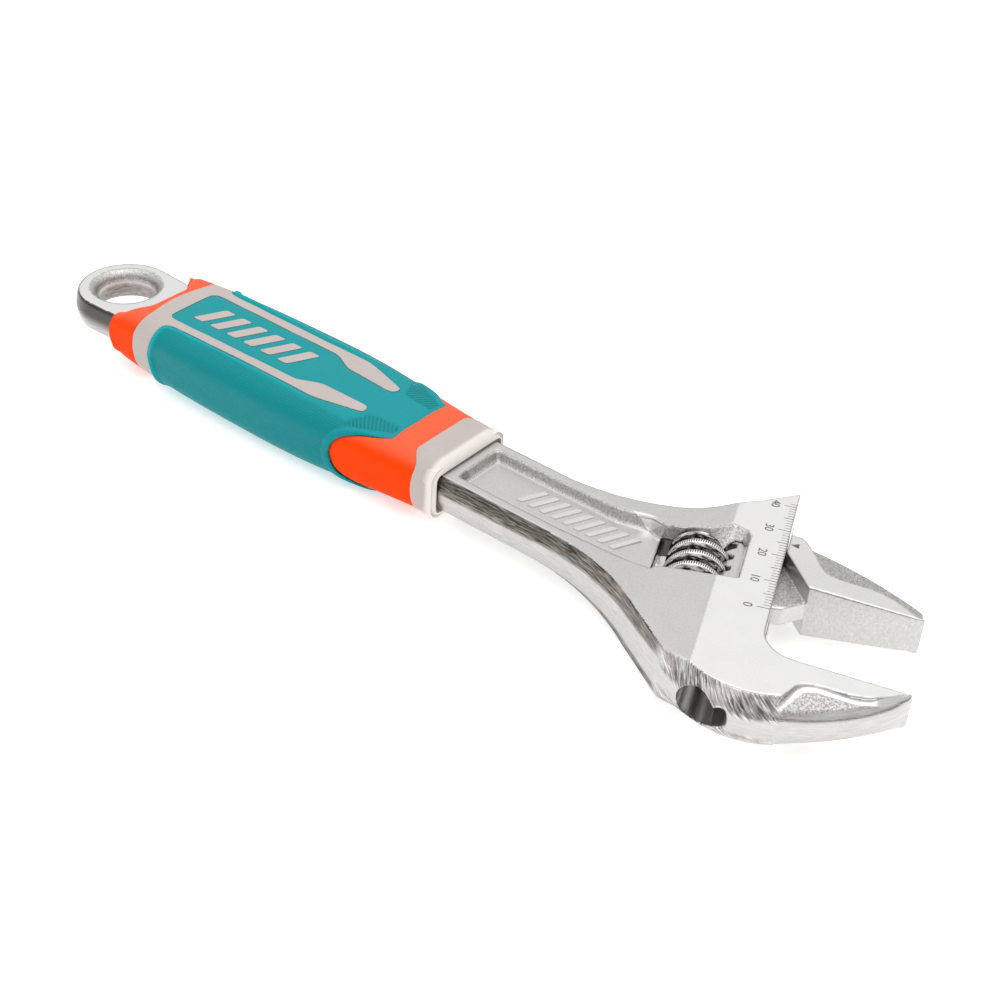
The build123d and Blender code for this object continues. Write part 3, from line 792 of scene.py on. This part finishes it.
def half_sizes(xs):
    """The grip's half width and half thickness at xs."""
    return [through(xs, STATIONS[:, 0], STATIONS[:, i]) for i in (1, 2)]


def round_section(columns):
    """For columns all the way round: q within the quarter, and the signs of y and z."""
    quarter = np.arange(columns) / columns * 4
    turn = np.floor(quarter).astype(int)
    q = np.where(turn % 2 == 0, quarter % 1, 1 - quarter % 1)
    return q, np.where(turn < 2, 1, -1), np.where((turn == 0) | (turn == 3), 1, -1)


# Colour regions in (x, distance round the section from the middle of a flat), millimetres.
ORANGE_EDGE = [(107.9, -9), (107.7, 0), (107.6, 5), (107.9, 8), (108.3, 10.1), (104.6, 12.2), (100.4, 13.9),
               (96.2, 16.4), (93.5, 18.9), (92.2, 22.2), (91.8, 25), (91.7, 34)]
STRIP_EDGE = [(26.3, -9), (26.3, 6.4), (26.9, 7.8), (28.4, 8.5), (51, 8.2), (73, 8.0), (78.3, 5.3),
              (79.9, 4.9), (93.9, 4.4), (95.1, 5.3), (95.3, 6.9), (94.4, 7.5), (85.0, 10.1), (81.0, 11.0),
              (66, 10.8), (51, 11.0), (32, 11.3), (30.0, 11.7), (28.7, 12.7), (28.3, 14.6), (27.6, 18),
              (26.2, 22), (25.4, 26), (25.4, 34)]
TEAL_ZONE = soft_outline(STRIP_EDGE + ORANGE_EDGE[::-1])
COLLAR_EDGE = [(117.0, 34), (117.0, 24), (117.2, 19), (117.9, 13.2), (115.7, 10.4), (114.9, 9.2), (114.8, 0),
               (114.8, -9)]
FRONT_ZONE = soft_outline(ORANGE_EDGE + COLLAR_EDGE)
REAR_ZONE = soft_outline([(-30, -9), (20.2, -9), (20.3, 1), (20.7, 5), (21.6, 9), (21.9, 11), (21.7, 13.5),
                          (20.9, 16.6), (19.9, 20), (19.3, 24), (19.2, 34), (-30, 34)])
WEDGE_ZONE = soft_outline([(93.6, 14.6), (95.6, 10.2), (97.2, 6.3), (99.0, 5.9), (106.6, 5.2), (107.3, 8.6),
                           (103.5, 10.9), (98.5, 13.2)], 0.5)
BARS = [soft_outline([(x0, -4.3), (x0 + 3.6, -4.3), (x0 + 7.6, 4.3), (x0 + 4.0, 4.3)], 0.35)
        for x0 in (31.5, 37.7, 43.9, 50.1, 56.3, 62.5)]


def rear_end(t):
    """How far back the grip reaches at distance t round the section: shoulders beside the ring."""
    return 16.6 - 7.4 * smoothstep(t, 5.0, 20.0)


STEP = 0.42
FRONT_X, FRONT_ROUND, REAR_ROUND = 124.2, 2.8, 3.6
GRIP_LENGTH, QUARTER_LENGTH = 104, 24.2  # for the number of rows and columns at STEP


def grip_grid():
    """Rows along the grip, columns round it: points, normals, x and t on the surface, and the sign of y."""
    columns = int(QUARTER_LENGTH / STEP) * 4
    q, y_sign, z_sign = round_section(columns)
    # from the rear opening over the rear face, rounding and body to the front opening
    rows = [("rear", 1.0, depth) for depth in (3.5, 1.6, 0.4)]
    rows += [("rear", inward, 0.0) for inward in (0.96, 0.90)]
    rows += [("rear_round", radians(angle), 0.0) for angle in np.linspace(80, 8, 9)]
    rows += [("body", k, 0.0) for k in np.linspace(0, 1, int(GRIP_LENGTH / STEP))]
    rows += [("front_round", radians(angle), 0.0) for angle in np.linspace(6, 88, 14)]
    rows += [("front", 1.0, depth) for depth in (0.4, 1.6, 3.5)]
    x_rear = rear_end(section(15.0, 8.4, CORNER, q)[4])
    point_rows, normal_rows, x_rows, t_rows = [], [], [], []
    for kind, k, depth in rows:
        if kind == "rear":
            xs, inward = x_rear + depth, k
        elif kind == "rear_round":
            xs, inward = x_rear + REAR_ROUND * (1 - sin(k)), 1 - cos(k)
        elif kind == "body":
            xs, inward = (x_rear + REAR_ROUND) * (1 - k) + (FRONT_X - FRONT_ROUND) * k, 0.0
        elif kind == "front_round":
            xs, inward = np.full(columns, FRONT_X - FRONT_ROUND * (1 - sin(k))), 1 - cos(k)
        else:
            xs, inward = np.full(columns, FRONT_X - depth), 1.0
        y, z, ny, nz, t = section(*half_sizes(xs), CORNER, q)
        opening = FRONT_OPENING if kind in ("front", "front_round") else REAR_OPENING
        open_y, open_z = section(*opening, q)[:2]
        y, z = y + (open_y - y) * inward, z + (open_z - z) * inward
        nx = np.zeros(columns)
        if kind in ("rear_round", "front_round"):
            # a quarter round that runs in to the opening
            nx += sin(k) if kind == "front_round" else -sin(k)
            ny, nz = ny * cos(k), nz * cos(k)
        elif kind == "rear" and depth:
            ny, nz = -np.sign(open_y) * (np.abs(open_y) > 12), -np.sign(open_z) * (np.abs(open_y) <= 12)
        elif kind == "rear":
            nx, ny, nz = nx - 1, ny * 0, nz * 0
        elif kind == "front":
            ny, nz = -ny, -nz
        point_rows.append(np.stack((xs, y * y_sign, z * z_sign), -1))
        normal_rows.append(np.stack((nx, ny * y_sign, nz * z_sign), -1))
        x_rows.append(x_rear if kind == "rear" else xs)
        t_rows.append(t)
    return np.array(point_rows), np.array(normal_rows), np.array(x_rows), np.array(t_rows), y_sign


base, outward, grid_x, grid_t, grid_side = grip_grid()
d_teal = signed_distance(grid_x, grid_t, TEAL_ZONE)
d_front = signed_distance(grid_x, grid_t, FRONT_ZONE)
d_rear = signed_distance(grid_x, grid_t, REAR_ZONE)
d_bars = np.min([signed_distance(grid_x, grid_t * grid_side, bar) for bar in BARS], axis=0)
d_wedge = signed_distance(grid_x, grid_t, WEDGE_ZONE)
d_teal_only = np.maximum(d_teal, -d_bars)
d_grey = np.minimum(-np.minimum(np.minimum(d_teal, d_front), d_rear), d_bars)
SHELL_WALL = 1.5


def edge_round(depth, radius=0.5, drop=0.28):
    return -drop * (1 - np.clip(depth / radius, 0, 1)) ** 2


def ridge(value, center, half):
    return np.clip(1 - ((value - center) / half) ** 2, 0, 1) ** 1.5


def corners_of(mesh):
    """The vertex that each face corner uses."""
    corner = np.zeros(len(mesh.loops), int)
    mesh.loops.foreach_get("vertex_index", corner)
    return corner


def clipped_shell(name, distance, height, material, node):
    """The part of the grip's surface where distance is negative, raised by height, as a closed shell."""
    points = base + outward * height[..., None]
    rows, columns = distance.shape
    verts = points.reshape(-1, 3)
    flat = distance.reshape(-1)
    uv = np.stack((grid_x.reshape(-1), grid_t.reshape(-1)), -1)
    index = np.arange(rows * columns).reshape(rows, columns)
    nxt = np.roll(index, -1, axis=1)
    quads = np.stack((index[:-1], nxt[:-1], nxt[1:], index[1:]), -1).reshape(-1, 4)
    inside = flat[quads] < 0
    count = inside.sum(1)
    faces = [tuple(q) for q in quads[count == 4]]
    extra, extra_uv, cuts = [], [], {}

    def cut(i, j):
        key = (min(i, j), max(i, j))
        if key not in cuts:
            k = flat[key[0]] / (flat[key[0]] - flat[key[1]])
            k = min(max(k, 0.02), 0.98)
            cuts[key] = len(verts) + len(extra)
            extra.append(verts[key[0]] * (1 - k) + verts[key[1]] * k)
            extra_uv.append(uv[key[0]] * (1 - k) + uv[key[1]] * k)
        return cuts[key]

    for quad in quads[(count > 0) & (count < 4)]:
        face = []
        for n in range(4):
            i, j = quad[n], quad[(n + 1) % 4]
            if flat[i] < 0:
                face.append(i)
            if (flat[i] < 0) != (flat[j] < 0):
                face.append(cut(i, j))
        if len(face) > 2:
            faces.append(tuple(face))
    all_verts = np.concatenate((verts, np.array(extra).reshape(-1, 3)))
    all_uv = np.concatenate((uv, np.array(extra_uv).reshape(-1, 2)))
    used = np.unique(np.concatenate([np.array(f) for f in faces]))
    remap = np.full(len(all_verts), -1)
    remap[used] = np.arange(len(used))
    faces = [tuple(remap[list(f)]) for f in faces]
    obj = mesh_object(name, all_verts[used], [f[::-1] for f in faces], material)
    layer = obj.data.uv_layers.new(name="skin")
    layer.data.foreach_set("uv", all_uv[used][corners_of(obj.data)].reshape(-1).astype(np.float32))
    solid = obj.modifiers.new("wall", "SOLIDIFY")
    solid.thickness = SHELL_WALL * MM
    solid.offset = -1
    solid.use_even_offset = False
    bpy.context.view_layer.update()
    mesh = bpy.data.meshes.new_from_object(obj.evaluated_get(bpy.context.evaluated_depsgraph_get()))
    obj.modifiers.clear()
    obj.data = mesh
    mesh.name = name
    mesh.shade_smooth()
    mesh.set_sharp_from_angle(angle=radians(42))
    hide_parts(node)
    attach(obj, "body")
    return obj


# heights over the base surface: rounded edges, lips beside the ribbed panels, and sunk faces
on_side = smoothstep(grid_t, 11.0, 12.6)
panel_depth = np.maximum(-d_teal, 0)
rear_lip = ridge(panel_depth, 1.15, 0.75) * on_side * smoothstep(-grid_x, -84, -70) * 0.6
from_orange = np.maximum(d_front, 0)
orange_lip = smoothstep(-from_orange, -2.2, -1.4) * smoothstep(grid_t, 11.2, 13.2) * 0.42
side_sink = -0.16 * on_side * smoothstep(panel_depth, 1.6, 2.4) * (1 - smoothstep(-from_orange, -2.4, -1.4))
top_sink = -0.12 * (1 - on_side)
wedge_sink = -0.34 * smoothstep(-d_wedge, 0.0, 0.45)
teal_height = (edge_round(np.maximum(-d_teal_only, 0)) + rear_lip + np.where(d_teal < 0, orange_lip, 0)
               + side_sink + top_sink + wedge_sink)
front_height = edge_round(np.maximum(-d_front, 0), 0.7, 0.3) - 0.22 * smoothstep(grid_t, 8, 12)
rear_height = edge_round(np.maximum(-d_rear, 0), 0.6, 0.28)
grey_height = edge_round(np.maximum(-d_grey, 0), 0.4, 0.2)

teal = clipped_shell("grip_teal_skin", d_teal_only, teal_height, TEAL, "grip_teal")
clipped_shell("grip_front_skin", d_front, front_height, ORANGE, "grip_front")
clipped_shell("grip_rear_skin", d_rear, rear_height, ORANGE, "grip_rear")
core = clipped_shell("grip_core_shell", d_grey, grey_height, GREY, "grip_core")

# where the teal is ribbed: its sides, and the two wedges by the orange band
skin_uv = np.zeros(len(teal.data.loops) * 2, np.float32)
teal.data.uv_layers["skin"].data.foreach_get("uv", skin_uv)
skin_x, skin_t = np.zeros((2, len(teal.data.vertices)))
skin_x[corners_of(teal.data)], skin_t[corners_of(teal.data)] = skin_uv.reshape(-1, 2).T
in_wedge = smoothstep(-signed_distance(skin_x, skin_t, WEDGE_ZONE), 0.1, 0.6)
edge_depth = -signed_distance(skin_x, skin_t, TEAL_ZONE)
ribbed = smoothstep(skin_t, 12.0, 13.5) * smoothstep(edge_depth, 1.8, 2.6) * (1 - in_wedge)
# painted highlight on the teal's raised bead and on the grey collar's front edge
bead = smoothstep(-np.abs(edge_depth - 1.15), -0.7, -0.25) * smoothstep(skin_t, 11.0, 12.6)
set_attributes(teal.data, ribbed=ribbed, wedge=in_wedge, lip=bead * smoothstep(-skin_x, -84, -70) * 0.8)
set_attributes(core.data, lip=smoothstep(points_of(core.data)[0][:, 0], 121.2, 122.6))


def inner_tube():
    """The plain core under the skins, which shows in the grooves between them."""
    columns = 96
    q, y_sign, z_sign = round_section(columns)
    xs = np.linspace(19.5, 120, 52)
    profile = [(x, 1.2) for x in xs] + [(x, 1.9) for x in xs[::-1]]
    verts, faces = [], []
    for x, inset in profile:
        half_w, half_h = (size[0] - inset for size in half_sizes(np.array([x])))
        y, z = section(half_w, half_h, CORNER - inset, q)[:2]
        verts += zip(np.full(columns, x), y * y_sign, z * z_sign)
    for i in range(len(profile)):
        low, high = i * columns, (i + 1) % len(profile) * columns
        for j in range(columns):
            k = (j + 1) % columns
            faces.append((low + j, high + j, high + k, low + k))
    return verts, faces


tube = mesh_object("grip_core_tube", *inner_tube(), GREY, sharp=40)
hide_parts("grip_core")
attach(tube, "body")

# ---- camera ----
YAW, PITCH_DOWN, ROLL = 0.6355, 0.6286, 0.0686
TARGET = Vector((136.318, -2.860, 0.0)) * MM
DISTANCE = 428.395 * MM
back = Vector((sin(YAW) * cos(PITCH_DOWN), -cos(YAW) * cos(PITCH_DOWN), sin(PITCH_DOWN)))
right = (-back).cross(Vector((0, 0, 1))).normalized()
up = right.cross(-back)
tilted_right = right * cos(ROLL) + up * sin(ROLL)
tilted_up = up * cos(ROLL) - right * sin(ROLL)
camera = link(bpy.data.objects.new("camera", bpy.data.cameras.new("camera")))
camera.data.lens = 63.65
camera.data.sensor_width = 36
camera.data.clip_start = 0.01
camera.data.clip_end = 20
pose = Matrix((tilted_right, tilted_up, back)).transposed().to_4x4()
pose.translation = TARGET + back * DISTANCE
camera.matrix_world = pose
scene.camera = camera

# ---- floor and light ----
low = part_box("grip_core")[0][2]
bpy.ops.mesh.primitive_plane_add(size=6, location=(0.13, 0, low - 0.0004))
floor = bpy.context.object
floor.name = "floor"
paper = Nodes("paper")
paper.set(Roughness=0.9, Emission_Color=(1, 1, 1, 1), Emission_Strength=0.50)
paper.finish(paper.mix(paper.noise(0.02, 2), (0.78, 0.78, 0.78), (0.80, 0.80, 0.80)))
floor.data.materials.append(paper.material)

world = bpy.data.worlds.new("studio")
scene.world = world
world.use_nodes = True
tree = world.node_tree
coords = tree.nodes.new("ShaderNodeTexCoord")
split = tree.nodes.new("ShaderNodeSeparateXYZ")
tree.links.new(coords.outputs["Generated"], split.inputs[0])
rise = tree.nodes.new("ShaderNodeMapRange")
rise.interpolation_type = "SMOOTHSTEP"
for key, number in (("From Min", 0.08), ("From Max", 0.36), ("To Min", 0.12), ("To Max", 1.0)):
    rise.inputs[key].default_value = number
tree.links.new(split.outputs[2], rise.inputs["Value"])
tree.links.new(rise.outputs["Result"], tree.nodes["Background"].inputs["Color"])
tree.nodes["Background"].inputs["Strength"].default_value = 0.92


def softbox(name, location, target, size, power):
    light = bpy.data.lights.new(name, "AREA")
    light.shape = "RECTANGLE"
    light.size, light.size_y = size
    light.energy = power
    obj = link(bpy.data.objects.new(name, light))
    obj.location = location
    obj.rotation_euler = (Vector(target) - Vector(location)).to_track_quat("-Z", "Y").to_euler()
    return obj


softbox("key", (0.20, -0.05, 1.1), (0.13, 0, 0), (1.2, 1.2), 4.8)
scene.view_settings.view_transform = "Standard"
